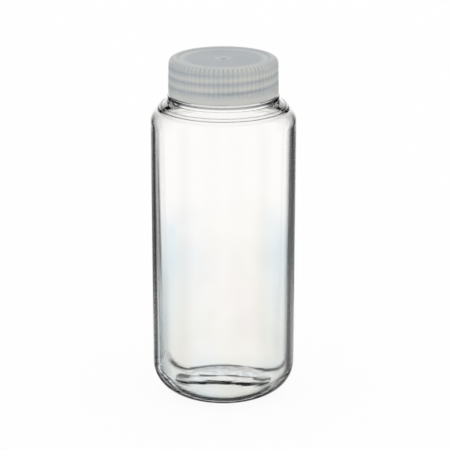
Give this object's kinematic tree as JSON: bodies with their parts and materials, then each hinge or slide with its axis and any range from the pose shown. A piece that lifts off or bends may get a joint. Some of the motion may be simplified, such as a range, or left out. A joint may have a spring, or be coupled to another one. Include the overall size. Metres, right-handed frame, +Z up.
{
  "type": "reagent bottle",
  "caption": "Clear straight-sided wide-mouth bottle with a knurled screw cap over a loose sealing disc; the cap unscrews and lifts off. For keeping liquids and powders.",
  "frame": {"origin": "centre of the base, on the surface that the bottle stands on", "axes": "+Z up the bottle's axis to the cap; X and Y are free, because the bottle is round"},
  "size_m": [0.089, 0.089, 0.2136],
  "materials": {
    "clear_plastic": "clear, polished by the mould",
    "cap_plastic": "natural translucent, satin",
    "disc_foam": "matt closed-cell foam"
  },
  "bodies": {
    "bottle": {"bottle": "clear_plastic"},
    "liner": {"cap_liner": "disc_foam"},
    "cap": {"screw_cap": "cap_plastic"}
  },
  "joints": [
    {"name": "cap_lift", "type": "slide", "parent": "bottle", "child": "liner", "axis": [0, 0, 1], "range_m": [0, 0.0224]},
    {"name": "cap_turn", "type": "hinge", "parent": "liner", "child": "cap", "pos_m": [0, 0, 0.2112], "axis": [0, 0, 1], "range_deg": [0, 1440]}
  ],
  "couplings": [
    {"joint": "cap_lift", "follows": "cap_turn", "m_per_rad": 0.00089127}
  ]
}
